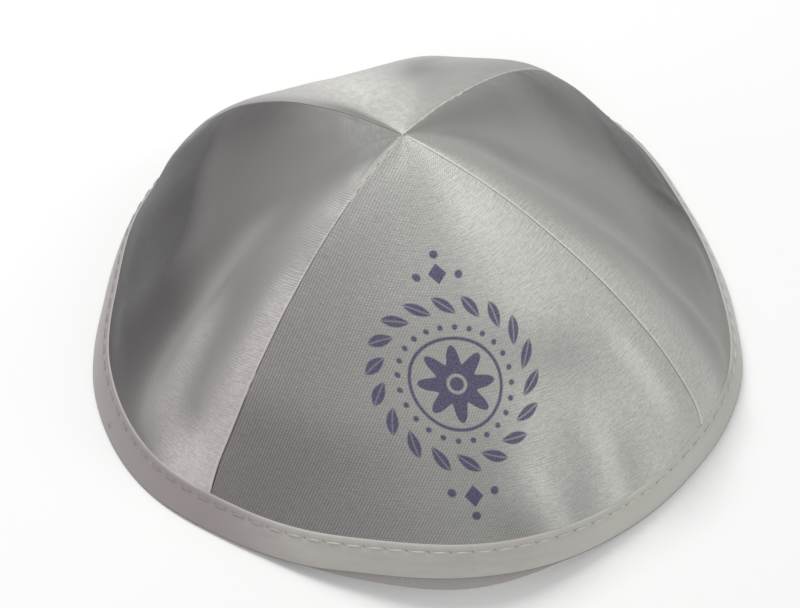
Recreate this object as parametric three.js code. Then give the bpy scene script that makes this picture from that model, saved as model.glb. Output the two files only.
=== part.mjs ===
// A four-panel satin skullcap with a lining and a stitched ribbon trim, as it lies on a table.
// Millimetres, +Z up, front panel towards -Y. The origin is on the table, under the middle of the cap.
// An azimuth is in degrees, 0 at the front and growing towards +X.

import * as THREE from 'three';
import { mergeVertices } from 'three/addons/utils/BufferGeometryUtils.js';

// Driving sizes
const rimRadius = 82.5; // the rim's mean radius where it meets the table
const domeHeight = 58.6; // from the table to the top of the crown
const trimWidth = 9; // the ribbon, from its upper edge down to its fold
const archHeight = 6.6; // how far the trim lifts off the table in front
const archAzimuth = -4.5; // the middle of that lift
const archSpan = 47; // degrees to each side of the middle over which the lift fades out
const foldHeight = 1.6; // how far the deepest fold of the satin stands out or in
const shoulderHeight = 0.45; // the soft ridge that the seam allowance raises beside each seam
const shoulderOffset = 6; // from a seam to the top of that ridge
const tuckLength = 15; // the stretch above the trim in which the satin is drawn in under it

// Cloth thicknesses and clearances
const satinThickness = 1;
const liningThickness = 1;
const trimThickness = 1;
const layerGap = 0.3; // between two layers of cloth
const seamGap = 0.3; // between two panels at their seam
const foldRoom = 0.8; // between the satin's lower edge and the ribbon's fold under it
const foldRounding = 0.6; // how far the ribbon's lower fold is rounded off
const hemRoom = 0.4; // the lift of the trim at which the lining's hem starts to come out under it

// Fineness of the meshes
const rows = 18; // from the crown's top to the trim
const columns = 14; // across one panel, from seam to seam
const trimStations = 104;

// The rim in plan, every 20 degrees from the front. Reach is a share of rimRadius, and flare is
// the angle in degrees at which the trim leans out from upright.
const rimRows = [
  { reach: 1.018, flare: 30 },
  { reach: 1.022, flare: 26 },
  { reach: 1.04, flare: 25 },
  { reach: 1.064, flare: 27 },
  { reach: 1.03, flare: 31 },
  { reach: 1.025, flare: 34 },
  { reach: 1.07, flare: 36 },
  { reach: 1.08, flare: 34 },
  { reach: 1.03, flare: 31 },
  { reach: 0.965, flare: 26 },
  { reach: 0.94, flare: 23 },
  { reach: 0.955, flare: 23 },
  { reach: 0.95, flare: 26 },
  { reach: 0.94, flare: 31 },
  { reach: 0.986, flare: 36 },
  { reach: 1.005, flare: 38 },
  { reach: 0.975, flare: 37 },
  { reach: 0.98, flare: 34 },
];

// The meridian of each seam, and the one down the middle of the panel that follows it. Each is a
// curve from the crown's top to the trim's upper edge. Its upper handle reaches crown of the way
// out and drops by drop of the dome's height, and its lower handle reaches waist of the way out
// and stands rise of the dome's height above the trim.
const seams = [
  { azimuth: -46, crown: 0.485, drop: 0.035, waist: 0.82, rise: 0.33 },
  { azimuth: 47, crown: 0.445, drop: 0.035, waist: 0.895, rise: 0.375 },
  { azimuth: 134, crown: 0.525, drop: 0.11, waist: 0.84, rise: 0.385 },
  { azimuth: 225, crown: 0.54, drop: 0.01, waist: 0.86, rise: 0.38 },
];
const panels = [
  { name: 'panel_front', crown: 0.48, drop: 0.12, waist: 0.83, rise: 0.27, color: 0xa9a7a7 },
  { name: 'panel_right', crown: 0.475, drop: 0.125, waist: 0.78, rise: 0.245, color: 0x9c9e9a },
  { name: 'panel_back', crown: 0.475, drop: 0.135, waist: 0.86, rise: 0.27, color: 0xb9bab5 },
  { name: 'panel_left', crown: 0.48, drop: 0.12, waist: 0.82, rise: 0.265, color: 0x8e8c8c },
];

// The folds and dents of each panel's satin. Across runs from -1 at its first seam to 1 at its
// second, and down from 0 at the crown's top to 1 at the trim. Width is a share of half the panel,
// and rise a share of foldHeight, below nought for a dent.
const folds = {
  panel_front: [
    { across: 0.7, down: 0.55, lowAcross: 0.5, lowDown: 1, width: 0.12, rise: -0.5 },
    { across: 0.5, down: 0.75, lowAcross: 0.32, lowDown: 1, width: 0.08, rise: 0.4 },
    { across: -0.85, down: 0.55, lowAcross: -0.6, lowDown: 1, width: 0.14, rise: -0.4 },
  ],
  panel_right: [
    { across: -0.2, down: 0.1, lowAcross: -0.55, lowDown: 0.85, width: 0.16, rise: -0.9 },
    { across: -0.62, down: 0.35, lowAcross: -0.78, lowDown: 1, width: 0.1, rise: 0.5 },
    { across: -0.1, down: 0.6, lowAcross: -0.28, lowDown: 1, width: 0.16, rise: 0.6 },
  ],
  panel_back: [
    { across: 0.1, down: 0.35, lowAcross: 0.25, lowDown: 1, width: 0.2, rise: -0.5 },
    { across: -0.3, down: 0.5, lowAcross: -0.35, lowDown: 1, width: 0.18, rise: 0.4 },
  ],
  panel_left: [
    { across: 0.35, down: 0.35, lowAcross: 0.42, lowDown: 1, width: 0.13, rise: -0.75 },
    { across: 0.6, down: 0.3, lowAcross: 0.66, lowDown: 1, width: 0.12, rise: 0.7 },
    { across: 0.1, down: 0.45, lowAcross: 0.2, lowDown: 1, width: 0.16, rise: 0.5 },
  ],
};
const foldEnds = 0.18; // the share of the way down over which a fold fades in and out

const { clamp, lerp, smoothstep, degToRad, radToDeg, euclideanModulo } = THREE.MathUtils;

// The value of one column of the rim's table at any azimuth, on a smooth closed curve.
function aroundRim(azimuth, column) {
  const count = rimRows.length;
  const place = euclideanModulo(azimuth, 360) / (360 / count);
  const row = Math.floor(place);
  const t = place - row;
  const [a, b, c, d] = [-1, 0, 1, 2].map((step) => rimRows[(row + step + count) % count][column]);
  const slope = c - a + t * (2 * a - 5 * b + 4 * c - d + t * (3 * (b - c) + d - a));
  return b + 0.5 * t * slope;
}

// How far the trim's fold stands off the table.
function archLift(azimuth) {
  const away = Math.abs(euclideanModulo(azimuth - archAzimuth + 180, 360) - 180);
  return away < archSpan ? archHeight * Math.cos((away / archSpan) * (Math.PI / 2)) ** 4 : 0;
}

// The trim's outer face at an azimuth: a straight, leaning line from its upper edge to its fold.
function rimAt(azimuth) {
  const lean = degToRad(aroundRim(azimuth, 'flare'));
  const radius = rimRadius * aroundRim(azimuth, 'reach');
  const foot = archLift(azimuth);
  return {
    lean,
    foot,
    topRadius: radius - trimWidth * Math.sin(lean),
    top: foot + trimWidth * Math.cos(lean),
  };
}

// The radius of a layer that lies depth under the trim's outer face, at a height.
function leaningRadius(rim, height, depth) {
  return rim.topRadius + (rim.top - height) * Math.tan(rim.lean) - depth / Math.cos(rim.lean);
}

// A point of a seam's or panel's meridian, as a radius and a height.
function meridian(row, rim, down) {
  const reach = rim.topRadius;
  const curve = new THREE.CubicBezierCurve(
    new THREE.Vector2(0, domeHeight),
    new THREE.Vector2(row.crown * reach, (1 - row.drop) * domeHeight),
    new THREE.Vector2(row.waist * reach, rim.top + row.rise * domeHeight),
    new THREE.Vector2(reach, rim.top),
  );
  return curve.getPoint(down);
}

// The middle and the half-width, as angles in radians, of the panel that starts at a seam.
function spanOf(index) {
  const start = seams[index].azimuth;
  const width = euclideanModulo(seams[(index + 1) % seams.length].azimuth - start, 360);
  return { middle: degToRad(start + width / 2), half: degToRad(width / 2) };
}

// The azimuth at a place across a panel.
function azimuthAcross(index, across) {
  const { middle, half } = spanOf(index);
  return radToDeg(middle + across * half);
}

// The smooth shell of the crown, before its folds.
function bareShell(index, across, down) {
  const rim = rimAt(azimuthAcross(index, across));
  const first = meridian(seams[index], rim, down);
  const second = meridian(seams[(index + 1) % seams.length], rim, down);
  const edge = first.lerp(second, (across + 1) / 2);
  return edge.lerp(meridian(panels[index], rim, down), 1 - across * across);
}

// The direction in which the shell faces, in its meridian's plane. It turns upright at the very
// top, where all meridians meet, and takes the trim's own lean where it runs in under the trim.
function facing(index, across, down) {
  const step = 0.01;
  const above = bareShell(index, across, Math.max(down - step, 0));
  const below = bareShell(index, across, Math.min(down + step, 1));
  const out = new THREE.Vector2(above.y - below.y, below.x - above.x).normalize();
  const { lean } = rimAt(azimuthAcross(index, across));
  out.lerp(new THREE.Vector2(Math.cos(lean), Math.sin(lean)), smoothstep(down, 0.85, 1));
  return out.lerp(new THREE.Vector2(0, 1), 1 - smoothstep(down, 0, 0.12)).normalize();
}

// How free the satin is of the trim: nought where it goes in under it, and 1 a tuck's length above.
function freedom(index, across, down) {
  const toTrim = bareShell(index, across, down).distanceTo(bareShell(index, across, 1));
  return smoothstep(toTrim, 0, tuckLength);
}

// How far the satin stands out of the smooth shell: its folds, and a shoulder beside each seam.
function standOut(index, across, down) {
  let height = 0;
  for (const fold of folds[panels[index].name]) {
    const along = clamp((down - fold.down) / (fold.lowDown - fold.down), 0, 1);
    const offMiddle = (across - lerp(fold.across, fold.lowAcross, along)) / fold.width;
    const fadeIn = smoothstep(down, fold.down, fold.down + foldEnds);
    const fadeOut = fold.lowDown < 1 ? smoothstep(fold.lowDown - down, 0, foldEnds) : 1;
    height += fold.rise * foldHeight * Math.exp(-(offMiddle ** 2)) * fadeIn * fadeOut;
  }
  const { half } = spanOf(index);
  const toSeam = ((1 - Math.abs(across)) * half * bareShell(index, across, down).x) / shoulderOffset;
  const shoulder = shoulderHeight * toSeam * Math.exp((1 - toSeam ** 2) / 2);
  return height * (1 - across ** 8) + shoulder;
}

// A point of a layer of the crown, as a radius and a height. Depth is measured in from the satin.
function crownPoint(index, across, down, depth) {
  const free = freedom(index, across, down);
  const tuck = (trimThickness + layerGap) * (1 - free);
  const shift = standOut(index, across, down) * free - tuck - depth;
  return bareShell(index, across, down).addScaledVector(facing(index, across, down), shift);
}

// A point of a layer that runs down behind the trim to a height above the trim's fold.
function footPoint(index, across, height, depth) {
  const rim = rimAt(azimuthAcross(index, across));
  return new THREE.Vector2(leaningRadius(rim, height, trimThickness + layerGap + depth), height);
}

// The height at which the lining is free of the trim's fold.
function hemTop(rim) {
  return Math.max(rim.foot - layerGap, 0);
}

// The lining's lower edge on the table. Where the trim is lifted off, the hem comes out under it
// as far as the trim's own lower edge, and keeps its thickness as it leans out.
function hemPoint(index, across, depth) {
  const rim = rimAt(azimuthAcross(index, across));
  const outer = trimThickness + layerGap + satinThickness + layerGap;
  const top = hemTop(rim);
  const start = leaningRadius(rim, top, outer);
  const out = smoothstep(rim.foot, hemRoom, 3 * hemRoom);
  const reach = lerp(leaningRadius(rim, 0, outer), leaningRadius(rim, rim.foot, 0), out);
  const lean = out > 0 ? Math.atan2(reach - start, top) : rim.lean;
  return new THREE.Vector2(reach - (depth + trimThickness + layerGap - outer) / Math.cos(lean), 0);
}

// A radius and a height, turned to an angle in radians.
function turned(point, angle) {
  return new THREE.Vector3(point.x * Math.sin(angle), -point.x * Math.cos(angle), point.y);
}

// A point of a panel, kept half the seam's gap off both of its seams.
function betweenSeams(index, across, point) {
  const { middle, half } = spanOf(index);
  const radius = Math.max(point.x, seamGap / 2 / Math.sin(half));
  const spare = Math.asin(seamGap / 2 / radius);
  return turned(new THREE.Vector2(radius, point.y), middle + across * (half - spare));
}

// A closed body through a list of rings of points, with each four-sided face cut along its shorter
// diagonal. Points that fall together are made one.
function bodyFromRings(rings, { looped = false, lidded = false }) {
  const size = rings[0].length;
  const points = rings.flat();
  const faces = [];
  const addFace = (a, b, c, d) => {
    const alongFirst = points[a].distanceTo(points[c]) <= points[b].distanceTo(points[d]);
    faces.push(...(alongFirst ? [a, b, c, a, c, d] : [a, b, d, b, c, d]));
  };
  const pairs = looped ? rings.length : rings.length - 1;
  for (let i = 0; i < pairs; i += 1) {
    const next = (i + 1) % rings.length;
    for (let j = 0; j < size; j += 1) {
      const k = (j + 1) % size;
      addFace(i * size + j, next * size + j, next * size + k, i * size + k);
    }
  }
  const last = (rings.length - 1) * size;
  for (let j = 0; lidded && j < size / 2 - 1; j += 1) {
    addFace(last + j, last + size - 1 - j, last + size - 2 - j, last + j + 1);
  }
  const loose = new THREE.BufferGeometry().setFromPoints(points);
  loose.setIndex(faces);
  const merged = mergeVertices(loose, 1e-5);
  const kept = [];
  const index = merged.index.array;
  for (let i = 0; i < index.length; i += 3) {
    const corners = [index[i], index[i + 1], index[i + 2]];
    if (new Set(corners).size === 3) kept.push(...corners);
  }
  merged.setIndex(kept);
  merged.computeVertexNormals();
  return merged;
}

// Places across a panel, closer together towards its seams, where most of its relief is.
const placesAcross = Array.from({ length: columns + 1 }, (_, k) => {
  const even = (2 * k) / columns - 1;
  return 0.45 * even + 0.55 * Math.sin((even * Math.PI) / 2);
});

const placesDown = Array.from({ length: rows + 1 }, (_, k) => k / rows);

// One satin panel. Each ring runs across its outer face and back across its inner one, and the
// first ring draws in to the panel's tip.
function panelGeometry(index) {
  const sides = [
    { depth: 0, places: placesAcross },
    { depth: satinThickness, places: [...placesAcross].reverse() },
  ];
  const ring = (pointAt) =>
    sides.flatMap(({ depth, places }) =>
      places.map((across) => betweenSeams(index, across, pointAt(across, depth))),
    );
  const rings = placesDown.map((down) => ring((across, depth) => crownPoint(index, across, down, depth)));
  const foot = (across) => rimAt(azimuthAcross(index, across)).foot + trimThickness + foldRoom;
  rings.push(ring((across, depth) => footPoint(index, across, foot(across), depth)));
  return bodyFromRings(rings, { lidded: true });
}

// The lining, one shell under all four panels. Its hem comes down to the table all round, so it
// shows under the trim where that lifts off in front.
function liningGeometry() {
  const ring = (pointAt) =>
    panels.flatMap((_, index) =>
      placesAcross.slice(0, -1).map((across) => {
        return turned(pointAt(index, across), degToRad(azimuthAcross(index, across)));
      }),
    );
  const outer = satinThickness + layerGap;
  const layer = (depth) => {
    const crown = placesDown.map((down) => ring((index, across) => crownPoint(index, across, down, depth)));
    const bend = ring((index, across) => {
      return footPoint(index, across, hemTop(rimAt(azimuthAcross(index, across))), depth);
    });
    return [...crown, bend, ring((index, across) => hemPoint(index, across, depth))];
  };
  return bodyFromRings([...layer(outer), ...layer(outer + liningThickness).reverse()], {});
}

// The ribbon trim: one ply outside the satin, folded in under the satin's lower edge.
function trimGeometry() {
  const foldDepth = trimThickness + layerGap + satinThickness;
  const sectionAt = (azimuth) => {
    const rim = rimAt(azimuth);
    const { lean, foot, top, topRadius } = rim;
    const inside = foot + trimThickness;
    return [
      [topRadius - trimThickness * Math.cos(lean), top - trimThickness * Math.sin(lean)],
      [leaningRadius(rim, inside, trimThickness), inside],
      [leaningRadius(rim, inside, foldDepth), inside],
      [leaningRadius(rim, foot, foldDepth), foot],
      [leaningRadius(rim, foot, 0) - foldRounding, foot],
      [leaningRadius(rim, foot + foldRounding, 0), foot + foldRounding],
      [topRadius, top],
    ].map(([radius, height]) => turned(new THREE.Vector2(radius, height), degToRad(azimuth)));
  };
  const stations = Array.from({ length: trimStations }, (_, k) => sectionAt((360 * k) / trimStations));
  return bodyFromRings(stations, { looped: true });
}

function clothPiece(name, geometry, color, roughness) {
  const mesh = new THREE.Mesh(geometry, new THREE.MeshStandardMaterial({ color, roughness, metalness: 0 }));
  mesh.name = name;
  return mesh;
}

const skullcap = new THREE.Group();
panels.forEach(({ name, color }, index) => {
  skullcap.add(clothPiece(name, panelGeometry(index), color, 0.42));
});
skullcap.add(clothPiece('lining', liningGeometry(), 0xa59e9e, 0.85));
skullcap.add(clothPiece('trim_band', trimGeometry(), 0xa8a2a0, 0.5));

// The crown is built round its top, and then the whole cap is centred over the origin.
const centre = new THREE.Box3().setFromObject(skullcap).getCenter(new THREE.Vector3());
skullcap.position.set(-centre.x, -centre.y, 0);

export default skullcap;
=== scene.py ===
# A satin skullcap lying on a pale table. Metres, +Z up, front panel towards -Y.
import functools
import math

import bmesh
import bpy
from mathutils import Matrix, Vector, noise


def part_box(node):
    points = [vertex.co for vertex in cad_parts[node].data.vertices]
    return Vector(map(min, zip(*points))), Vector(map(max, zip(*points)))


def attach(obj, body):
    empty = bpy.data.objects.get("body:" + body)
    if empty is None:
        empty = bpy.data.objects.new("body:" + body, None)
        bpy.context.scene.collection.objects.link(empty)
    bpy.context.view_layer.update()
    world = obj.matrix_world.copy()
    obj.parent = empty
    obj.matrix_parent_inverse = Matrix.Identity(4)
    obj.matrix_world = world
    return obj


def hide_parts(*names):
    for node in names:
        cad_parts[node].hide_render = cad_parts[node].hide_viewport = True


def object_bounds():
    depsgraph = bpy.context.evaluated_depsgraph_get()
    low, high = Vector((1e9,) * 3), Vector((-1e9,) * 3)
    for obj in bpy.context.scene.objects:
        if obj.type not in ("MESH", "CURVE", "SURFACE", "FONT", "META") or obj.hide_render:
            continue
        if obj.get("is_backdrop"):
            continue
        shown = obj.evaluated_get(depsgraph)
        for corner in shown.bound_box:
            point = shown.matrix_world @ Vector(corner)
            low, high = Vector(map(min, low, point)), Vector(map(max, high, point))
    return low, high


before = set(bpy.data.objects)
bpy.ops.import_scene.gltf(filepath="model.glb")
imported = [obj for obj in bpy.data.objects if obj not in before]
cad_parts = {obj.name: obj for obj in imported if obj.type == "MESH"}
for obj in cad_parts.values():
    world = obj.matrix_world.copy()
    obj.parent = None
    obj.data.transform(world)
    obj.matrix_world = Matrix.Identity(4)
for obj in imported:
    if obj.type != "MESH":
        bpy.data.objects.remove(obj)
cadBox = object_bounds()
print("frame loaded:", ", ".join(sorted(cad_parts)))

# The cap's main sizes. The crown's top is read from the lining's solid, right under it.
liningTop = max((v.co for v in bpy.data.objects["lining"].data.vertices), key=lambda co: co.z)
capShape = {
    "topX": liningTop.x,
    "topY": liningTop.y,
    "height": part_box("panel_front")[1][2],
    "rimRadius": 0.0825,
    "trimWidth": 0.009,
    "archHeight": 0.0066,
    "archAzimuth": -4.5,
    "archSpan": 47,
    "archPower": 4,
    "foldHeight": 0.0016,
    "foldEnds": 0.18,
    "foldPower": 8,  # how sharply the folds end at the seams
    "shoulderHeight": 0.00045,
    "shoulderOffset": 0.006,
    "crownBlend": 0.12,  # above this share of the way down, the way out turns straight up
    "rimBlend": 0.85,  # and below this one, it turns out as the trim does
}

# The rim every 20 degrees from the front: its reach as a share of rimRadius, and the trim's lean.
rimRows = [
    (1.018, 30), (1.022, 26), (1.04, 25), (1.064, 27), (1.03, 31), (1.025, 34),
    (1.07, 36), (1.08, 34), (1.03, 31), (0.965, 26), (0.94, 23), (0.955, 23),
    (0.95, 26), (0.94, 31), (0.986, 36), (1.005, 38), (0.975, 37), (0.98, 34),
]

# Each seam's and each panel's meridian, as shares of its reach and of the cap's height, and the
# panel whose edge is rolled over the seam.
seams = [
    {"azimuth": -46, "crown": 0.485, "drop": 0.035, "waist": 0.82, "rise": 0.33,
     "rolled": "panel_left"},
    {"azimuth": 47, "crown": 0.445, "drop": 0.035, "waist": 0.895, "rise": 0.375,
     "rolled": "panel_right"},
    {"azimuth": 134, "crown": 0.525, "drop": 0.11, "waist": 0.84, "rise": 0.385,
     "rolled": "panel_back"},
    {"azimuth": 225, "crown": 0.54, "drop": 0.01, "waist": 0.86, "rise": 0.38,
     "rolled": None},
]
panels = [
    {"name": "panel_front", "crown": 0.48, "drop": 0.12, "waist": 0.83, "rise": 0.27},
    {"name": "panel_right", "crown": 0.475, "drop": 0.125, "waist": 0.78, "rise": 0.245},
    {"name": "panel_back", "crown": 0.475, "drop": 0.135, "waist": 0.86, "rise": 0.27},
    {"name": "panel_left", "crown": 0.48, "drop": 0.12, "waist": 0.82, "rise": 0.265},
]

# Folds: across and down where one starts, across and down where it ends, its width as a share
# of half the panel, and its rise as a share of foldHeight.
folds = {
    "panel_front": [
        (0.7, 0.55, 0.5, 1, 0.12, -0.5),
        (0.5, 0.75, 0.32, 1, 0.08, 0.4),
        (-0.85, 0.55, -0.6, 1, 0.14, -0.4),
    ],
    "panel_right": [
        (-0.2, 0.1, -0.55, 0.85, 0.16, -0.9),
        (-0.62, 0.35, -0.78, 1, 0.1, 0.5),
        (-0.1, 0.6, -0.28, 1, 0.16, 0.6),
    ],
    "panel_back": [
        (0.1, 0.35, 0.25, 1, 0.2, -0.5),
        (-0.3, 0.5, -0.35, 1, 0.18, 0.4),
    ],
    "panel_left": [
        (0.35, 0.35, 0.42, 1, 0.13, -0.75),
        (0.6, 0.3, 0.66, 1, 0.12, 0.7),
        (0.1, 0.45, 0.2, 1, 0.16, 0.5),
    ],
}


def mix(a, b, share):
    return a + (b - a) * share


def smooth(value, low, high):
    share = min(max((value - low) / (high - low), 0), 1)
    return share * share * (3 - 2 * share)


def aroundRim(azimuth, column):
    place = azimuth % 360 / (360 / len(rimRows))
    row = int(place)
    t = place - row
    a, b, c, d = (rimRows[(row + step) % len(rimRows)][column] for step in (-1, 0, 1, 2))
    return b + 0.5 * t * (c - a + t * (2 * a - 5 * b + 4 * c - d + t * (3 * (b - c) + d - a)))


def archLift(azimuth):
    away = abs((azimuth - capShape["archAzimuth"] + 180) % 360 - 180) / capShape["archSpan"]
    if away >= 1:
        return 0
    return capShape["archHeight"] * math.cos(away * math.pi / 2) ** capShape["archPower"]


@functools.lru_cache(maxsize=None)
def rimAt(azimuth):
    lean = math.radians(aroundRim(azimuth, 1))
    foot = archLift(azimuth)
    reach = capShape["rimRadius"] * aroundRim(azimuth, 0)
    width = capShape["trimWidth"]
    return {
        "lean": lean,
        "foot": foot,
        "reach": reach - width * math.sin(lean),
        "top": foot + width * math.cos(lean),
    }


def leaningRadius(rim, height, depth):
    # how far out the trim's leaning plane is at a height, a depth in behind its face
    reach = rim["reach"] + (rim["top"] - height) * math.tan(rim["lean"])
    return reach - depth / math.cos(rim["lean"])


def meridian(row, rim, down):
    height, reach = capShape["height"], rim["reach"]
    handles = (
        Vector((0, height)),
        Vector((row["crown"] * reach, (1 - row["drop"]) * height)),
        Vector((row["waist"] * reach, rim["top"] + row["rise"] * height)),
        Vector((reach, rim["top"])),
    )
    up = 1 - down
    weights = (up ** 3, 3 * up * up * down, 3 * up * down * down, down ** 3)
    return sum((point * weight for point, weight in zip(handles, weights)), Vector((0, 0)))


def spanOf(index):
    start = seams[index]["azimuth"]
    width = (seams[(index + 1) % len(seams)]["azimuth"] - start) % 360
    return start + width / 2, width / 2


def azimuthAcross(index, across):
    middle, half = spanOf(index)
    return middle + across * half


def bareShell(index, across, down):
    rim = rimAt(azimuthAcross(index, across))
    first = meridian(seams[index], rim, down)
    second = meridian(seams[(index + 1) % len(seams)], rim, down)
    edge = first.lerp(second, (across + 1) / 2)
    return edge.lerp(meridian(panels[index], rim, down), 1 - across * across)


def facing(index, across, down):
    # the way out of the shell, as shares of outwards and of up
    step = 0.01
    above = bareShell(index, across, max(down - step, 0))
    below = bareShell(index, across, min(down + step, 1))
    out = Vector((above.y - below.y, below.x - above.x)).normalized()
    lean = rimAt(azimuthAcross(index, across))["lean"]
    out = out.lerp(Vector((math.cos(lean), math.sin(lean))), smooth(down, capShape["rimBlend"], 1))
    return out.lerp(Vector((0, 1)), 1 - smooth(down, 0, capShape["crownBlend"])).normalized()


def turned(radius, height, azimuth):
    angle = math.radians(azimuth)
    return Vector((
        capShape["topX"] + radius * math.sin(angle),
        capShape["topY"] - radius * math.cos(angle),
        height,
    ))


def toSeam(index, across, radius):
    # how far it is to the nearer seam
    return (1 - abs(across)) * math.radians(spanOf(index)[1]) * radius


def ridges(rows, across, down):
    height = 0
    for start, high, end, low, width, rise in rows:
        along = min(max((down - high) / (low - high), 0), 1)
        off = (across - mix(start, end, along)) / width
        fadeIn = smooth(down, high, high + capShape["foldEnds"])
        fadeOut = smooth(low - down, 0, capShape["foldEnds"]) if low < 1 else 1
        height += rise * math.exp(-off * off) * fadeIn * fadeOut
    return height


def foldRise(index, across, down):
    rows = folds[panels[index]["name"]]
    height = ridges(rows, across, down) * capShape["foldHeight"]
    return height * (1 - across ** capShape["foldPower"])


# How light each panel's satin looks, painted into its colour as sheen and shade, from 0 to 1: its
# level at the crown and at the rim, then soft bands with the same columns as the folds.
satinSheenAndShade = {
    "panel_front": (0.66, 0.5, [
        (-1, -0.3, -1, 1, 0.9, -0.13),
        (-0.8, 0.6, -0.7, 1, 0.8, -0.13),
        (0.9, -0.3, 0.8, 1, 0.45, 0.11),
        (0.6, 0.05, 0.6, 1, 0.32, 0.26),
        (0.58, 0.4, 0.66, 0.72, 0.15, -0.27),
        (0.86, 0.5, 0.87, 0.95, 0.05, 0.21),
        (0.5, 0.64, 0.42, 1, 0.08, -0.13),
        (0.58, 0.66, 0.55, 1, 0.05, 0.11),
        (0.68, 0.72, 0.63, 1, 0.06, -0.16),
        (0.23, 0.7, 0.31, 1, 0.05, 0.19),
        (0.1, 0.8, 0.16, 1, 0.08, -0.1),
        (0.36, 0.52, 0.22, 0.98, 0.12, 0.14),
        (0.3, 0.34, 0.5, 0.68, 0.14, -0.14),
    ]),
    "panel_right": (0.46, 0.36, [
        (-1, -0.3, -1, 1, 0.22, 0.26),
        (-0.93, 0.3, -0.92, 1, 0.12, 0.12),
        (0.75, -0.3, 0.6, 0.45, 0.5, -0.19),
        (-0.4, -0.1, -0.4, 0.75, 0.5, 0.02),
        (0.8, 0.3, 0.5, 1, 0.6, -0.26),
        (-0.5, 0.4, -0.77, 1, 0.08, -0.01),
        (-0.7, 0.4, -0.86, 1, 0.05, 0.09),
        (0.3, -0.05, -0.25, 0.36, 0.16, -0.08),
        (0.4, 0.62, 0.35, 1, 0.7, -0.22),
        (0.4, 0.1, 0.3, 0.6, 0.35, 0.06),
    ]),
    "panel_back": (0.77, 0.58, [
        (-1, -0.3, -1, 1, 0.5, -0.2),
        (1, -0.3, 1, 1, 0.14, -0.24),
        (0.85, -0.3, 0.85, 0.3, 0.16, -0.39),
        (-0.6, 0.05, -0.45, 0.5, 0.22, -0.17),
        (0.3, 0.1, 0.2, 0.7, 0.3, 0.21),
        (-0.3, 0.2, -0.35, 0.65, 0.16, -0.25),
    ]),
    "panel_left": (0.29, 0.15, [
        (1, -0.3, 1, 1, 0.42, 0.32),
        (0.75, -0.3, 0.75, 0.24, 0.4, -0.23),
        (-0.5, -0.3, -0.4, 0.2, 0.6, -0.09),
        (0.3, 0.24, 0.45, 0.68, 0.13, 0.17),
        (0.5, 0.46, 0.66, 0.98, 0.1, 0.27),
        (0.8, 0.76, 0.82, 1, 0.12, 0.41),
        (0.78, 0.6, 0.84, 0.84, 0.06, 0.06),
        (0.94, 0.3, 0.97, 1, 0.1, 0.32),
        (-0.95, 0.2, -0.95, 0.75, 0.3, -0.11),
        (-0.5, 0.5, -0.4, 1, 0.7, -0.27),
        (-0.78, 0.55, -0.76, 1, 0.08, -0.19),
        (-1.02, 0.55, -1.02, 1, 0.17, 0.29),
        (0.47, 0.38, 0.6, 0.95, 0.05, -0.11),
        (0.6, 0.45, 0.74, 0.95, 0.06, 0.15),
    ]),
}

# Small gathers over the trim and along the seams, with the folds' columns.
gathers = {
    "panel_front": [
        (0.58, 0.66, 0.55, 1, 0.045, 0.45),
        (0.5, 0.64, 0.42, 1, 0.06, -0.35),
        (0.68, 0.72, 0.63, 1, 0.05, -0.3),
        (0.23, 0.7, 0.31, 1, 0.04, 0.3),
        (0.86, 0.5, 0.87, 0.95, 0.05, 0.25),
    ],
    "panel_right": [
        (-0.5, 0.4, -0.77, 1, 0.07, 0.4),
        (-0.7, 0.4, -0.86, 1, 0.05, -0.2),
        (0.2, 0.75, 0.15, 1, 0.05, 0.3),
    ],
    "panel_back": [
        (-0.5, 0.7, -0.55, 1, 0.05, 0.35),
        (0.4, 0.7, 0.42, 1, 0.05, -0.3),
        (0.7, 0.75, 0.72, 1, 0.05, 0.3),
    ],
    "panel_left": [
        (0.42, 0.56, 0.68, 1, 0.09, 0.5),
        (0.66, 0.5, 0.9, 0.95, 0.06, -0.35),
        (0.88, 0.3, 0.95, 1, 0.06, 0.3),
    ],
}

satin = {
    "columns": 130,
    "evenShare": 0.18,  # 1 spreads the columns evenly, less crowds them at the seams
    "rows": 120,
    "thickness": 0.0004,
    "tuckDepth": 0.00045,  # how deep it runs in behind the trim
    "tuckLength": 0.009,  # the length before the rim over which it sinks there
    "tuckReach": 0.004,  # how far it goes on behind the trim
    "tuckShare": 0.05,  # the same as a share of the way down
    "seamRoll": 0.0005,  # the rounding with which it turns in at a seam
    "seamDepth": 0.00025,
    "seamStart": 0.004,  # the radius from which on it turns in fully
    "seamGap": 0.00003,  # half the crease between two panels
    "rollHeight": 0.0001,  # the edge that one panel rolls over a seam
    "rollWidth": 0.0009,
    "rollSpread": 0.6,
    "edgeLine": 0.0004,  # the painted highlight along that edge
    "rolledEdgeHighlight": 0.45,
    "toneLength": 0.55,  # the share of the way down at which the rim's level is reached
    "gatherHeld": 0.003,  # how close to the rim the gathers go
    "crumpleHeight": 0.00035,
    "crumpleGrain": 70,
    "puckerHeight": 0.00022,
    "puckerGrain": 290,
    "puckerStart": 0.0015,
    "puckerReach": 0.004,
}


def rolledOver(index, across):
    seam = seams[index if across < 0 else (index + 1) % len(seams)]
    return seam["rolled"] == panels[index]["name"]


# the painted sheen and shade of a panel at a place on it
def paintedSheenAt(index, across, down):
    crown, rim, rows = satinSheenAndShade[panels[index]["name"]]
    tone = mix(crown, rim, smooth(down, 0, satin["toneLength"])) + ridges(rows, across, down)
    # a painted highlight along the edge that this panel rolls over the seam
    if rolledOver(index, across):
        off = toSeam(index, across, bareShell(index, across, down).x) / satin["edgeLine"]
        tone += satin["rolledEdgeHighlight"] * math.exp(-off * off)
    return tone


def spread(even):
    share = satin["evenShare"]
    return share * even + (1 - share) * math.sin(even * math.pi / 2)


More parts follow.
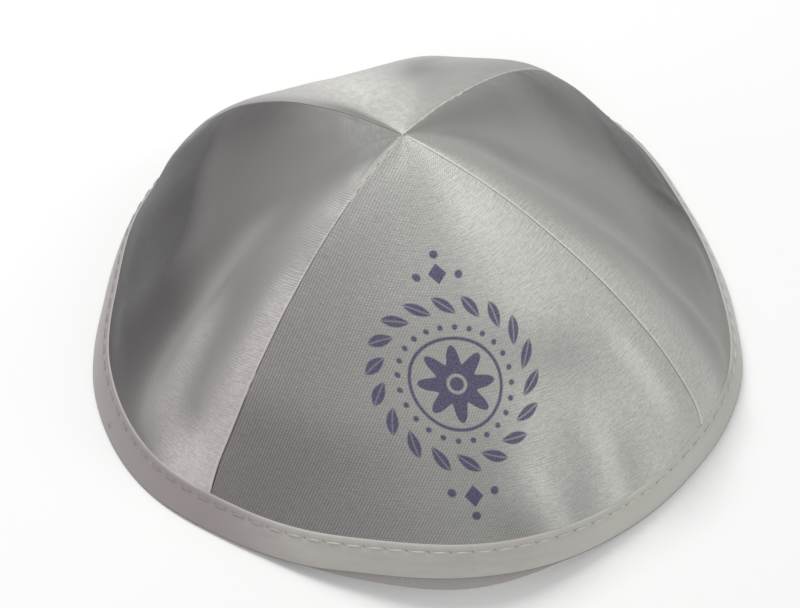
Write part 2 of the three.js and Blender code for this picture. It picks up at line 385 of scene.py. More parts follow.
def satinPoint(index, across, down):
    # down runs on past 1 behind the trim
    azimuth = azimuthAcross(index, across)
    rim = rimAt(azimuth)
    if down > 1:
        drop = satin["tuckReach"] * (down - 1) / satin["tuckShare"]
        sink = satin["tuckDepth"] * math.sin(rim["lean"])
        height = rim["top"] - sink - drop * math.cos(rim["lean"])
        return leaningRadius(rim, height, satin["tuckDepth"]), height
    bare = bareShell(index, across, down)
    toRim = (bare - bareShell(index, across, 1)).length
    free = smooth(toRim, 0, satin["tuckLength"])
    held = smooth(toRim, 0, satin["gatherHeld"])
    beside = toSeam(index, across, bare.x)
    steps = beside / capShape["shoulderOffset"]
    shoulder = capShape["shoulderHeight"] * steps * math.exp((1 - steps * steps) / 2)
    away = 1 - min(beside / satin["seamRoll"], 1)
    roll = satin["seamDepth"] * (1 - math.sqrt(1 - away * away))
    roll *= smooth(bare.x, 0, satin["seamStart"])
    if rolledOver(index, across):
        off = (beside / satin["rollWidth"] - 1) / satin["rollSpread"]
        shoulder += satin["rollHeight"] * math.exp(-off * off)
    place = turned(bare.x, bare.y, azimuth)
    wave = noise.noise(place * satin["puckerGrain"] + Vector((0, 0, index * 5)))
    near = math.exp(-beside / satin["puckerReach"]) * smooth(beside, 0, satin["puckerStart"])
    pucker = satin["puckerHeight"] * wave * near
    crumple = satin["crumpleHeight"] * noise.noise(place * satin["crumpleGrain"])
    gather = ridges(gathers[panels[index]["name"]], across, down) * capShape["foldHeight"]
    rise = (foldRise(index, across, down) + shoulder + pucker + crumple) * free + gather * held
    shift = rise - satin["tuckDepth"] * (1 - free) - roll
    point = bare + facing(index, across, down) * shift
    return point.x, point.y


class Signal:
    # a shader socket, on which sums are written as plain expressions
    def __init__(self, tree, socket=None):
        self.tree = tree
        self.socket = socket

    def node(self, kind, settings=None, inputs=None, output=0):
        made = self.tree.nodes.new(kind)
        for name, value in (settings or {}).items():
            setattr(made, name, value)
        for name, value in (inputs or {}).items():
            if isinstance(value, Signal):
                self.tree.links.new(value.socket, made.inputs[name])
            else:
                made.inputs[name].default_value = value
        return Signal(self.tree, made.outputs[output])

    def sum(self, operation, *values):
        return self.node("ShaderNodeMath", {"operation": operation}, dict(enumerate(values)))

    def __add__(self, other):
        return self.sum("ADD", self, other)

    def __sub__(self, other):
        return self.sum("SUBTRACT", self, other)

    def __rsub__(self, other):
        return self.sum("SUBTRACT", other, self)

    def __mul__(self, other):
        return self.sum("MULTIPLY", self, other)

    def __truediv__(self, other):
        return self.sum("DIVIDE", self, other)

    def __abs__(self):
        return self.sum("ABSOLUTE", self)

    __radd__ = __add__

    def of(self, operation):
        return self.sum(operation, self)

    def power(self, other):
        return self.sum("POWER", self, other)

    def most(self, other):
        return self.sum("MAXIMUM", self, other)

    def smooth(self, low, high):
        inputs = {"Value": self, "From Min": low, "From Max": high}
        return self.node("ShaderNodeMapRange", {"interpolation_type": "SMOOTHSTEP"}, inputs)

    def tint(self, first, second):
        # from the first colour at 0 to the second at 1
        return self.node("ShaderNodeMix", {"data_type": "RGBA"}, {0: self, 6: first, 7: second}, 2)

    def parts(self):
        return [self.node("ShaderNodeSeparateXYZ", None, {0: self}, k) for k in range(3)]

    def stretched(self, scale, turn=0):
        inputs = {"Vector": self, "Scale": scale, "Rotation": (0, 0, math.radians(turn))}
        return self.node("ShaderNodeMapping", None, inputs)

    def noise(self, scale, detail=2):
        inputs = {"Vector": self, "Scale": scale, "Detail": detail, "Roughness": 0.55}
        return self.node("ShaderNodeTexNoise", None, inputs)

    def clothMap(self):
        # the place on the cloth, in millimetres
        return self.node("ShaderNodeUVMap", {"uv_map": "Cloth"}).stretched((100, 100, 100))

    def place(self):
        return self.node("ShaderNodeTexCoord", None, None, "Object")


def linear(value):
    # the screen's standard curve, undone
    return ((value / 255 + 0.055) / 1.055) ** 2.4 if value > 10 else value / 3295


def colour(red, green, blue):
    # a colour named in eight-bit screen values
    return (linear(red), linear(green), linear(blue), 1)


def newMaterial(name, finish):
    material = bpy.data.materials.new(name)
    material.use_nodes = True
    shader = material.node_tree.nodes["Principled BSDF"]
    shader.inputs["Roughness"].default_value = finish["roughness"]
    for socket, value in finish["constants"].items():
        shader.inputs[socket].default_value = value
    return material, shader, Signal(material.node_tree)


def feed(shader, **links):
    for name, signal in links.items():
        socket = {"baseColor": "Base Color", "roughness": "Roughness", "normal": "Normal"}[name]
        signal.tree.links.new(signal.socket, shader.inputs[socket])


def raised(height, distance, strength):
    inputs = {"Strength": strength, "Distance": distance, "Height": height}
    return height.node("ShaderNodeBump", None, inputs)


clothFinish = {
    "dark": (colour(74, 74, 73), colour(75, 72, 74)),  # on the right, on the left
    "light": (colour(218, 219, 213), colour(219, 213, 211)),
    "sides": (0.02, -0.05),  # where along x the right side ends and the left one starts
    "lightFrom": (0.3, 0.9),  # the tones between which the light comes in
    "grainFrom": (0.3, 0.65),  # the same for the weave
    "printedFrom": (0.1, 0.4),  # and for the weave of the printed panel
    "printedLeast": 0.7,  # how much of the weave its dark parts show
    "twillPitch": 0.585,  # millimetres from line to line
    "twillTurns": {"panel_front": 30, "panel_right": 0, "panel_back": 0, "panel_left": 90},
    "twillDepth": {
        "panel_front": 0.09,
        "panel_right": 0.05,
        "panel_back": 0.05,
        "panel_left": 0.06,
    },
    "twillBreak": 2.5,  # how much the sparks break its lines up
    "twillLoss": 0.7,  # how much of it full light hides
    "weftPitch": 0.62,
    "weftDepth": 0.024,
    "streakScale": (0.4, 2.1, 1),
    "streakTurn": 4,
    "streakDepth": 0.5,
    "sparkScale": (1.5, 2.6, 1),
    "sparkDepth": 0.4,
    "shine": (0.35, 0.9),  # how strong both are in the dark, and how much stronger in light
    "mottleScale": (0.55, 0.3, 1),
    "mottleTurn": 25,
    "mottleDepth": {"panel_front": 0.1, "panel_right": 0.1, "panel_back": 0.7, "panel_left": 0.2},
    "roughness": 0.48,
    "streakRoughness": 0.3,
    "twillBump": 0.2,
    "weftBump": 0.15,
    "bump": (0.0001, 0.6),  # metres and strength
    "constants": {
        "Metallic": 0.12,
        "Sheen Weight": 0.04,
        "Sheen Roughness": 0.4,
        "Specular IOR Level": 0.3,
    },
}

ornament = {
    "ink": colour(72, 66, 104),
    "cover": 0.84,  # how much of the satin the ink hides, and what weave and sparks add to that
    "coverTwill": 0.07,
    "coverSpark": 0.5,
    "roughness": 0.15,
    "place": (1, -58),  # millimetres on the front panel's cloth
    "petals": 8,
    "petalReach": 6.4,
    "petalDepth": 1.9,
    "heart": (1.5, 2.2),
    "ring": 9.8,
    "ringWidth": 0.35,
    "dots": 24,
    "dotReach": 12.2,
    "dotRadius": 0.6,
    "leaves": 18,
    "leafReach": 17,
    "leafHalf": 3.1,
    "leafWidth": 1.25,
    "leafTurn": 38,
    "veinHalf": 0.12,
    "veinShare": 0.7,
    "lozengeReach": 24,
    "lozengeHalf": 2.4,
    "lozengeNarrow": 1.2,
    "drop": (4.6, 23.2, 0.9),  # its place aside and up, and its radius
    "tip": (28.4, 0.95),
    "edge": 0.22,
}


def ornamentMask(u, v):
    # a flower in a ring, dots, a wreath of leaves, and a lozenge with drops above and below
    here = ornament
    x, y = u - here["place"][0], v - here["place"][1]
    reach = (x * x + y * y).power(0.5)
    angle = x.sum("ARCTAN2", y, x)
    edge = here["edge"]

    def cells(count):
        return ((angle * (count / math.tau)).of("FRACT") - 0.5) * reach * (math.tau / count)

    def inside(distance):
        return distance.smooth(edge, 0 - edge)

    petal = (angle * here["petals"]).of("COSINE") * here["petalDepth"] + here["petalReach"]
    heart = abs(reach - sum(here["heart"]) / 2) - (here["heart"][1] - here["heart"][0]) / 2
    flower = inside(reach - petal) * (1 - inside(heart))
    ring = inside(abs(reach - here["ring"]) - here["ringWidth"])
    off = reach - here["dotReach"]
    side = cells(here["dots"])
    dots = inside((off * off + side * side).power(0.5) - here["dotRadius"])
    off = reach - here["leafReach"]
    side = cells(here["leaves"])
    turn = math.radians(here["leafTurn"])
    along = side * math.cos(turn) + off * math.sin(turn)
    wide = off * math.cos(turn) - side * math.sin(turn)
    share = along / here["leafHalf"]
    leaf = inside(abs(wide) - (1 - share * share) * here["leafWidth"])
    vein = inside(abs(wide) - here["veinHalf"])
    leaves = leaf * (1 - vein * here["veinShare"])
    high = abs(y)
    slope = abs(x) * here["lozengeNarrow"] + abs(high - here["lozengeReach"])
    lozenge = inside(slope - here["lozengeHalf"])
    aside, up, radius = here["drop"]
    side = abs(x) - aside
    rise = high - up
    drops = inside((side * side + rise * rise).power(0.5) - radius)
    up, radius = here["tip"]
    rise = high - up
    tip = inside((x * x + rise * rise).power(0.5) - radius)
    return flower.most(ring).most(dots).most(leaves).most(lozenge).most(drops).most(tip)


def lines(cloth, pitch, turn):
    across, _, _ = cloth.stretched((1, 1, 1), turn).parts()
    return (across * (math.tau / pitch)).of("SINE")


def satinMaterial(panel):
    # the twill's lines show all over the printed panel, and on the others only where they are light
    here = clothFinish
    material, shader, start = newMaterial(panel.replace("panel", "satin"), here)
    cloth = start.clothMap()
    # tone is the painted sheen and shade kept on each vertex
    tone = start.node("ShaderNodeAttribute", {"attribute_name": "tone"}, None, "Fac")
    printed = panel == "panel_front"
    grain = tone.smooth(*here["printedFrom" if printed else "grainFrom"])
    if printed:
        grain = grain * (1 - here["printedLeast"]) + here["printedLeast"]
    light = tone.smooth(*here["lightFrom"])
    streaks = cloth.stretched(here["streakScale"], here["streakTurn"]).noise(1, 3) - 0.5
    sparks = cloth.stretched(here["sparkScale"]).noise(1, 1) - 0.5
    mottle = cloth.stretched(here["mottleScale"], here["mottleTurn"]).noise(1, 3) - 0.5
    twill = lines(cloth, here["twillPitch"], here["twillTurns"][panel])
    twill = twill * (1 + sparks * here["twillBreak"])
    weft = lines(cloth, here["weftPitch"], 90)
    weave = twill * (1 - light * here["twillLoss"]) * here["twillDepth"][panel]
    weave = weave + weft * here["weftDepth"]
    shine = here["shine"][0] + light * here["shine"][1]
    weave = weave + (streaks * here["streakDepth"] + sparks * here["sparkDepth"]) * shine
    weave = weave + mottle * light * light * here["mottleDepth"][panel]
    x, _, _ = start.place().parts()
    side = x.smooth(*here["sides"])
    # the base colour runs from dark to light with the painted sheen and shade, and the weave's
    # streaks and sparks show more where the painted sheen is bright
    base = (tone + weave * grain).tint(side.tint(*here["dark"]), side.tint(*here["light"]))
    rough = here["roughness"] + streaks * here["streakRoughness"]
    if printed:
        u, v, _ = cloth.parts()
        cover = twill * ornament["coverTwill"] + sparks * ornament["coverSpark"] + ornament["cover"]
        mask = ornamentMask(u, v) * cover
        base = mask.tint(base, ornament["ink"])
        rough = rough + mask * ornament["roughness"]
    height = (twill * here["twillBump"] + weft * here["weftBump"] + streaks + sparks) * grain
    feed(shader, baseColor=base, roughness=rough, normal=raised(height, *here["bump"]))
    return material


ribbonFinish = {
    "dark": colour(175, 170, 165),
    "light": colour(195, 191, 186),
    # painted light and shade by side: where along x each tint starts and is full, and how strong it
    # is
    "sides": {
        "left": (-0.034, -0.058, colour(148, 136, 140), 0.75),
        "right": (0, 0.05, colour(196, 198, 189), 0.7),
        "far": (0.052, 0.074, colour(164, 164, 158), 0.6),
    },
    "weftPitches": (9, 13),  # radians a millimetre
    "weftDepth": 0.3,
    "patchScale": (0.08, 0.3, 1),
    "patches": (1.4, -0.2),  # gain and offset
    "speck": colour(118, 92, 70),
    "speckScale": (0.11, 0.25, 1),
    "speckFrom": (0.73, 0.78),
    "speckShare": 0.5,
    # painted shade in the hole where the thread goes in, a dark dash, in millimetres
    "tick": colour(84, 78, 76),
    "tickTurn": 35,
    "tickWide": (0.26, 0.08),
    "tickLong": (0.6, 0.2),
    "tickShare": 0.45,
    # painted shade along the fold at the trim's foot, by the table
    "fold": colour(84, 80, 79),
    "footShadeFrom": (-8, -8.45),
    "footShadeShare": 0.7,
    # a painted highlight along the trim's upper edge
    "edge": colour(212, 208, 204),
    "topEdgeHighlightFrom": (-0.75, -0.2),
    "topEdgeHighlightShare": 0.5,
    "roughness": 0.5,
    "weftBump": 0.5,
    "patchBump": 0.4,
    "bump": (0.00008, 0.5),
    "constants": {
        "Metallic": 0.1,
        "Sheen Weight": 0.25,
        "Sheen Roughness": 0.5,
        "Specular IOR Level": 0.4,
    },
}


def stitchHoleShadeMask(u, v):
    # painted shade in a slanting dash between each two stitches, where the thread goes in
    here = ribbonFinish
    pitch = ribbon["stitchPitch"] * 1000
    side = ((u / pitch + 0.5).of("FRACT") - 0.5) * pitch
    fall = v + ribbon["stitchDown"] * 1000
    slant = math.radians(here["tickTurn"])
    along = side * math.cos(slant) - fall * math.sin(slant)
    wide = side * math.sin(slant) + fall * math.cos(slant)
    return abs(wide).smooth(*here["tickWide"]) * abs(along).smooth(*here["tickLong"])


def ribbonMaterial():
    here = ribbonFinish
    material, shader, start = newMaterial("ribbon", here)
    cloth = start.clothMap()
    u, v, _ = cloth.parts()
    first, second = here["weftPitches"]
    weft = ((u * first).of("SINE") + (v * second).of("SINE")) * 0.25 + 0.5
    patches = cloth.stretched(here["patchScale"]).noise(1, 3)
    gain, offset = here["patches"]
    base = patches * gain + offset + (weft - 0.5) * here["weftDepth"]
    base = base.tint(here["dark"], here["light"])
    x, _, _ = start.place().parts()
    # painted shade on the left and at the far right, painted light on the right
    for begin, full, tint, share in here["sides"].values():
        base = (x.smooth(begin, full) * share).tint(base, tint)
    specks = cloth.stretched(here["speckScale"]).noise(1, 1).smooth(*here["speckFrom"])
    left = x.smooth(*here["sides"]["left"][:2])
    base = (specks * left * here["speckShare"]).tint(base, here["speck"])
    # painted shade where the thread goes in
    base = (stitchHoleShadeMask(u, v) * here["tickShare"]).tint(base, here["tick"])
    # painted shade along the fold at the trim's foot
    base = (v.smooth(*here["footShadeFrom"]) * here["footShadeShare"]).tint(base, here["fold"])
    # a painted highlight along the trim's upper edge
    base = (v.smooth(*here["topEdgeHighlightFrom"]) * here["topEdgeHighlightShare"]).tint(base, here["edge"])
    height = weft * here["weftBump"] + patches * here["patchBump"]
    feed(shader, baseColor=base, normal=raised(height, *here["bump"]))
    return material


liningFinish = {
    "dark": colour(152, 146, 145),
    "light": colour(192, 187, 185),
    "threadPitch": 7,  # radians a millimetre
    "threadDepth": 0.12,
    "threadBump": 0.4,
    "fuzzGrain": (1.6, 4),
    "fuzz": (1.3, -0.2),  # gain and offset
    "bump": (0.00015, 0.6),
    "roughness": 0.8,
    "constants": {"Sheen Weight": 0.35, "Sheen Roughness": 0.6, "Specular IOR Level": 0.25},
}


def liningMaterial():
    here = liningFinish
    material, shader, start = newMaterial("lining_weave", here)
    cloth = start.clothMap()
    u, v, _ = cloth.parts()
    thread = (u * here["threadPitch"]).of("SINE") * (v * here["threadPitch"]).of("SINE")
    fuzz = cloth.noise(*here["fuzzGrain"])
    gain, offset = here["fuzz"]
    base = (fuzz * gain + offset + thread * here["threadDepth"]).tint(here["dark"], here["light"])
    height = thread * here["threadBump"] + fuzz
    feed(shader, baseColor=base, normal=raised(height, *here["bump"]))
    return material


threadFinish = {
    "dark": colour(180, 177, 171),
    "light": colour(218, 216, 209),
    "shaded": colour(140, 132, 134),  # on the left, where the light skims along the stitches
    "shadedFrom": (-0.03, -0.055),
    "shadedShare": 0.8,
    "twistGrain": (2500, 2),
    "bump": (0.00005, 0.5),
    "roughness": 0.55,
    "constants": {"Sheen Weight": 0.3, "Specular IOR Level": 0.4},
}


def threadMaterial():
    here = threadFinish
    material, shader, start = newMaterial("thread", here)
    place = start.place()
    twist = place.noise(*here["twistGrain"])
    x, _, _ = place.parts()
    base = twist.tint(here["dark"], here["light"])
    base = (x.smooth(*here["shadedFrom"]) * here["shadedShare"]).tint(base, here["shaded"])
    feed(shader, baseColor=base, normal=raised(twist, *here["bump"]))
    return material


def newPiece(name, mesh, material, node=None):
    data = bpy.data.meshes.new(name)
    mesh.to_mesh(data)
    mesh.free()
    for face in data.polygons:
        face.use_smooth = True
    piece = bpy.data.objects.new(name, data)
    bpy.context.scene.collection.objects.link(piece)
    data.materials.append(material)
    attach(piece, "root")
    if node:
        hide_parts(node)
    return piece


def mapGrid(mesh, columns, rows, place, tone=None):
    # place takes x and y from 0 to 1; it gives a point, and a place on the cloth in decimetres
    bmesh.ops.create_grid(mesh, x_segments=columns, y_segments=rows, size=0.5)
    uvLayer = mesh.loops.layers.uv.new("Cloth")
    toneLayer = mesh.verts.layers.float.new("tone")
    told = {vert: place(vert.co.x + 0.5, vert.co.y + 0.5) for vert in mesh.verts}
    for face in mesh.faces:
        for loop in face.loops:
            loop[uvLayer].uv = told[loop.vert][1]
    for vert, (point, _) in told.items():
        # tone, where given, is the painted sheen and shade kept on each vertex
        if tone:
            vert[toneLayer] = tone(vert.co.x + 0.5, vert.co.y + 0.5)
        vert.co = point


def thickened(piece, thickness):
    wall = piece.modifiers.new("cloth", "SOLIDIFY")
    wall.thickness = thickness
    wall.offset = -1


def arcsAlong(points):
    # the length along a row of points, up to each of them
    arcs = [0]
    for start, end in zip(points, points[1:]):
        arcs.append(arcs[-1] + (end - start).length)
    return arcs


def between(values, place):
    # a row of values, read at a place between two of them
    low = min(int(place), len(values) - 2)
    return mix(values[low], values[low + 1], place - low)


def middleLine(index, steps):
    return [bareShell(index, 0, k / steps) for k in range(steps + 1)]


def goreCut(index):
    # a gore laid flat: its width at the rim, its length down the middle and its area
    half = math.radians(spanOf(index)[1])
    points = middleLine(index, 100)
    width = 2 * half * max(point.x for point in points)
    area = 0
    for high, low in zip(points, points[1:]):
        area += (low - high).length * (low.x + high.x) * half
    return round(width, 4), round(arcsAlong(points)[-1], 4), round(area, 5)


def satinPanel(index, material):
    steps = 200
    arcs = arcsAlong(middleLine(index, steps))
    half = math.radians(spanOf(index)[1])

    def place(x, y):
        across = spread(2 * x - 1)
        down = (1 - y) * (1 + satin["tuckShare"])
        radius, height = satinPoint(index, across, down)
        spare = min(satin["seamGap"] / max(radius, satin["seamGap"]) / half, 0.9)
        point = turned(radius, height, azimuthAcross(index, across * (1 - spare)))
        arc = between(arcs, min(down, 1) * steps)
        arc += max(down - 1, 0) / satin["tuckShare"] * satin["tuckReach"]
        return point, (across * half * radius * 10, -arc * 10)

    # the painted sheen and shade at each vertex
    def tone(x, y):
        down = min((1 - y) * (1 + satin["tuckShare"]), 1)
        return paintedSheenAt(index, spread(2 * x - 1), down)

    mesh = bmesh.new()
    mapGrid(mesh, satin["columns"], satin["rows"], place, tone)
    bmesh.ops.remove_doubles(mesh, verts=mesh.verts, dist=0.00002)
    node = panels[index]["name"]
    piece = newPiece(node.replace("panel", "satin"), mesh, material, node)
    thickened(piece, satin["thickness"])
    width, length, area = goreCut(index)


ribbon = {
    "stations": 1440,
    "rows": 22,
    "thickness": 0.0003,
    "lip": 0.0009,
    "foldRadius": 0.0003,
    "floorGap": 0.00006,
    "edgeBevel": 0.00015,
    "bulge": 0.0003,
    "edgeSink": 0.0004,  # how far its upper edge is pressed into the satin
    "edgeWidth": 0.0012,
    "stitchDown": 0.0017,
    "stitchDip": 0.00014,
    "stitchNear": 0.0007,  # how far up and down the dip goes
    "stitchSway": 0.6,  # how much deeper it is where the thread goes in
    "stitchPitch": 0.00465,
    "stitchLength": 0.0033,
    "stitchRadius": 0.00017,
    "stitchOut": 0.4,  # how far a stitch stands out, as a share of its radius
    "wave": 0.00035,
    "waveGrain": (5, 1.7),
}


@functools.lru_cache(maxsize=None)
def rimArcs():
    # the length along the trim's upper edge up to each whole degree
    return arcsAlong([turned(rimAt(a)["reach"], rimAt(a)["top"], a) for a in range(361)])


def arcAt(azimuth):
    return between(rimArcs(), azimuth % 360)


def stitchCount():
    return round(rimArcs()[-1] / ribbon["stitchPitch"])


def ripple(azimuth, grain, layer):
    # a wave that closes round the rim
    angle = math.radians(azimuth)
    return noise.noise(Vector((math.sin(angle) * grain, math.cos(angle) * grain, layer)))


def ribbonFace(azimuth, along):
    # reach and height of the outer face at a distance down from the upper edge
    rim = rimAt(azimuth)
    share = along / capShape["trimWidth"]
    phase = math.tau * stitchCount() * arcAt(azimuth) / rimArcs()[-1]
    near = math.exp(-(((along - ribbon["stitchDown"]) / ribbon["stitchNear"]) ** 2))
    swell = ribbon["bulge"] * math.sin(math.pi * share)
    swell += ribbon["wave"] * share * ripple(azimuth, *ribbon["waveGrain"])
    swell -= ribbon["stitchDip"] * near * (1 + ribbon["stitchSway"] * math.cos(phase))
    swell -= ribbon["edgeSink"] * (1 - smooth(along, 0, ribbon["edgeWidth"]))
    lean = rim["lean"]
    return Vector((
        rim["reach"] + along * math.sin(lean) + swell * math.cos(lean),
        rim["top"] - along * math.cos(lean) + swell * math.sin(lean),
    ))


def ribbonPoint(azimuth, share):
    # down the outer face, round the fold at the foot and in along the lip
    rim = rimAt(azimuth)
    lean = rim["lean"]
    fold = ribbon["foldRadius"]
    foot = fold * (1 + math.sin(lean)) + ribbon["floorGap"]
    face = capShape["trimWidth"] - foot / math.cos(lean)
    turn = math.pi / 2 + lean
    along = share * (face + fold * turn + ribbon["lip"])
    if along <= face:
        return ribbonFace(azimuth, along), along
    out = Vector((math.cos(lean), math.sin(lean)))
    down = Vector((math.sin(lean), -math.cos(lean)))
    middle = ribbonFace(azimuth, face) - out * fold
    angle = min((along - face) / fold, turn)
    point = middle + (out * math.cos(angle) + down * math.sin(angle)) * fold
    return point - Vector((max(along - face - fold * turn, 0), 0)), along


def trimPiece(material):
    def place(x, y):
        azimuth = round(360 * x, 4)
        point, along = ribbonPoint(azimuth % 360, 1 - y)
        arc = x * stitchCount() * ribbon["stitchPitch"]
        return turned(point.x, point.y, azimuth), (arc * 10, -along * 10)

    mesh = bmesh.new()
    mapGrid(mesh, ribbon["stations"], ribbon["rows"], place)
    bmesh.ops.remove_doubles(mesh, verts=mesh.verts, dist=0.00001)
    piece = newPiece("ribbon_trim", mesh, material, "trim_band")
    thickened(piece, ribbon["thickness"])
    edge = piece.modifiers.new("edge", "BEVEL")
    edge.width = ribbon["edgeBevel"]
    edge.segments = 2
    edge.angle_limit = math.radians(60)
    round(rimArcs()[-1], 4)


def addThread(mesh, middle, run, out, length, radius):
    # a slim bead, stretched along its run
    size = Matrix((run * length / 2, out.cross(run) * radius, out * radius)).transposed().to_4x4()
    place = Matrix.Translation(middle) @ size
    bmesh.ops.create_icosphere(mesh, subdivisions=2, radius=1, matrix=place)


def trimStitches(material):
    count = stitchCount()
    down = ribbon["stitchDown"]
    radius = ribbon["stitchRadius"]
    perDegree = 50
    wanted = 0.5

    def faceAt(azimuth, along):
        return turned(*ribbonFace(azimuth, along), azimuth)

    mesh = bmesh.new()
    for azimuth in (k / perDegree for k in range(360 * perDegree + 1)):
        if arcAt(azimuth) / rimArcs()[-1] * count < wanted or wanted > count:
            continue
        wanted += 1
        here = faceAt(azimuth, down)
        run = (faceAt(azimuth + 0.3, down) - here).normalized()
        out = (faceAt(azimuth, down + 0.0002) - here).cross(run).normalized()
        middle = here + out * radius * ribbon["stitchOut"]
        addThread(mesh, middle, run, out, ribbon["stitchLength"], radius)
    newPiece("trim_stitches", mesh, material)


lining = {
    "columns": 360,
    "crownRows": 60,
    "hemRows": 8,
    "depth": 0.0013,
    "tuckDepth": 0.0013,
    "tuckLength": 0.015,
    "thickness": 0.0008,
    "hemRoom": 0.00025,  # the trim's lift from which the hem stands free of the folded ribbon
    "hemTop": 0.0003,  # how far under the trim's foot it starts
    "hemTurn": 0.3,  # the share of its way that goes round its edge
    "hemFloor": 0.00002,
    "hemShown": 0.0018,  # the trim's lift from which the hem stands nearly under its face
    "hemSet": 0.001,  # how far in from that face it stands there
    "hemShare": 0.4,  # its half thickness where the trim is barely lifted, as a share of that lift
    "hemBelly": 0.0005,
    "hemWave": 0.0003,
    "hemGrain": (6, 5.2),
}


def acrossAt(azimuth):
    # the panel that holds an azimuth, and how far across it that is
    for index in range(len(panels)):
        middle, half = spanOf(index)
        off = (azimuth - middle + 180) % 360 - 180
        if abs(off) <= half + 1e-6:
            return index, max(min(off / half, 1), -1)


def liningPoint(azimuth, down, depth):
    index, across = acrossAt(azimuth)
    bare = bareShell(index, across, down)
    free = smooth((bare - bareShell(index, across, 1)).length, 0, lining["tuckLength"])
    shift = foldRise(index, across, down) * free - lining["tuckDepth"] * (1 - free)
    return bare + facing(index, across, down) * (shift - lining["depth"] - depth)


def hemPoint(azimuth, share):
    # down from under the trim to the table, round the hem's edge and back up inside
    rim = rimAt(azimuth)
    depth = lining["depth"] + lining["tuckDepth"]
    out = smooth(rim["foot"], lining["hemRoom"], 2 * lining["hemRoom"])
    radius = lining["thickness"] / 2
    radius = mix(radius, min(radius, lining["hemShare"] * rim["foot"]), out)
    top = max(rim["foot"] - lining["hemTop"], radius)
    start = leaningRadius(rim, top, depth)
    shown = smooth(rim["foot"], lining["hemRoom"], lining["hemShown"])
    under = leaningRadius(rim, rim["foot"], lining["hemSet"])
    reach = mix(leaningRadius(rim, radius, depth), under, shown)
    reach += lining["hemWave"] * ripple(azimuth, *lining["hemGrain"]) * out
    side = (1 - lining["hemTurn"]) / 2
    if share < side:
        fall = share / side
        belly = lining["hemBelly"] * out * math.sin(math.pi * fall)
        return Vector((mix(start, reach, smooth(fall, 0, 1)) + belly, mix(top, radius, fall)))
    if share > 1 - side:
        climb = (share - 1 + side) / side
        back = mix(reach, start, smooth(climb, 0, 1)) - 2 * radius
        return Vector((back, mix(radius, top, climb)))
    turn = math.pi * (share - side) / lining["hemTurn"]
    low = radius - lining["hemFloor"]
    return Vector((reach - radius + radius * math.cos(turn), radius - low * math.sin(turn)))


def liningPiece(material):
    rows, hem = lining["crownRows"], lining["hemRows"] * 3
    count = 2 * rows + hem

    def place(x, y):
        azimuth = round(360 * x, 4) % 360
        k = round((1 - y) * count)
        if k <= rows:
            point = liningPoint(azimuth, k / rows, 0)
        elif k < rows + hem:
            point = hemPoint(azimuth, (k - rows) / hem)
        else:
            point = liningPoint(azimuth, (count - k) / rows, lining["thickness"])
        return turned(max(point.x, 0), point.y, azimuth), (x * rimArcs()[-1] * 10, (1 - y) * 2)

    mesh = bmesh.new()
    mapGrid(mesh, lining["columns"], count, place)
    bmesh.ops.remove_doubles(mesh, verts=mesh.verts, dist=0.00001)
    piece = newPiece("lining_cloth", mesh, material, "lining")
    cuts = [goreCut(index) for index in range(len(panels))]
    width, length, area = (sum(values) for values in zip(*cuts))
    round(length / len(cuts), 4)


seamThread = {
    "length": 0.0029,
    "pitch": 0.0038,
    "radius": 0.00013,
    "sink": 0.75,  # its depth in the crease, as a share of seamDepth
    # seam, and where along it the thread shows, as shares of the way down
    "shown": [(0, 0.02, 0.2), (0, 0.62, 0.7), (1, 0.03, 0.12), (2, 0.05, 0.2)],
}


def seamThreads(material):
    mesh = bmesh.new()
    steps = 400
    for seam, start, end in seamThread["shown"]:
        azimuth = seams[seam]["azimuth"]
        angle = math.radians(azimuth)
        side = Vector((math.cos(angle), math.sin(angle), 0))
        covered = 0
        wanted = seamThread["pitch"] / 2
        points = []
        for k in range(steps + 1):
            bare = bareShell(seam, -1, mix(start, end, k / steps))
            height = bare.y - satin["seamDepth"] * seamThread["sink"]
            points.append(turned(bare.x, height, azimuth))
        for here, ahead in zip(points, points[1:]):
            covered += (ahead - here).length
            if covered >= wanted:
                wanted += seamThread["pitch"]
                run = (ahead - here).normalized()
                out = side.cross(run).normalized()
                addThread(mesh, here, run, out, seamThread["length"], seamThread["radius"])
    newPiece("seam_threads", mesh, material)


view = {
    "target": Vector((-0.002794, 0.001841, -0.002623)),
    "back": Vector((-0.1138, -0.6048, 0.7882)),
    "distance": 0.33,
    "lens": 56.87,
}


def addCamera():
    camera = bpy.data.objects.new("camera", bpy.data.cameras.new("camera"))
    bpy.context.scene.collection.objects.link(camera)
    camera.data.lens = view["lens"]
    camera.data.clip_start = 0.01
    camera.location = view["target"] + view["back"] * view["distance"]
    camera.rotation_euler = (-view["back"]).to_track_quat("-Z", "Y").to_euler()
    bpy.context.scene.camera = camera


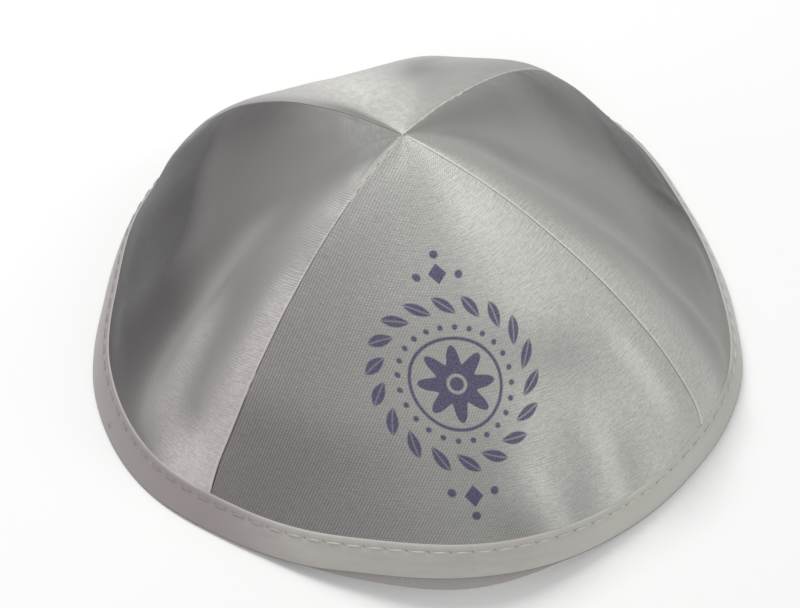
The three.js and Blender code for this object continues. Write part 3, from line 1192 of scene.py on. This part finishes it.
studio = {
    "worldColour": (1, 1, 1, 1),
    "worldStrength": 0.46,
    "floorSize": 3,
    "floorGrain": (8, 2),
    "floorColours": (colour(249, 249, 249), colour(253, 253, 253)),
    "floorFinish": {"roughness": 0.6, "constants": {"Specular IOR Level": 0.2}},
    # place, size across, power in watts and colour
    "lamps": {
        "back_top": ((-0.22, 0.6, 0.9), 0.42, 6.6, (0.98, 1, 0.98)),
        "right_fill": ((0.8, -0.3, 0.7), 0.5, 1.4, (0.97, 1, 0.96)),
        "front_fill": ((-0.3, -0.9, 0.8), 0.4, 1.8, (1, 0.97, 0.98)),
    },
}


def addStudio():
    scene = bpy.context.scene
    scene.view_settings.view_transform = "Standard"
    world = bpy.data.worlds.new("studio")
    scene.world = world
    world.use_nodes = True
    back = world.node_tree.nodes["Background"]
    back.inputs["Color"].default_value = studio["worldColour"]
    back.inputs["Strength"].default_value = studio["worldStrength"]
    for name, (place, size, power, tone) in studio["lamps"].items():
        lamp = bpy.data.objects.new(name, bpy.data.lights.new(name, "AREA"))
        scene.collection.objects.link(lamp)
        lamp.data.size = size
        lamp.data.energy = power
        lamp.data.color = tone
        lamp.location = place
        lamp.rotation_euler = (-Vector(place)).to_track_quat("-Z", "Y").to_euler()
    mesh = bmesh.new()
    bmesh.ops.create_grid(mesh, x_segments=1, y_segments=1, size=studio["floorSize"])
    data = bpy.data.meshes.new("floor")
    mesh.to_mesh(data)
    mesh.free()
    floor = bpy.data.objects.new("floor", data)
    scene.collection.objects.link(floor)
    material, shader, start = newMaterial("table", studio["floorFinish"])
    grain = start.place().noise(*studio["floorGrain"])
    feed(shader, baseColor=grain.tint(*studio["floorColours"]))
    data.materials.append(material)
    floor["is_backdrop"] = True


addCamera()
addStudio()
print("camera, lamps and floor done")

for index, panel in enumerate(panels):
    satinPanel(index, satinMaterial(panel["name"]))
print("four satin panels done")

trimPiece(ribbonMaterial())
thread = threadMaterial()
trimStitches(thread)
seamThreads(thread)
print("trim and threads done")

liningPiece(liningMaterial())
print("lining done")

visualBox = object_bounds()
({
    name: [list(corner) for corner in box]
    for name, box in (("cad", cadBox), ("visual", visualBox))
})
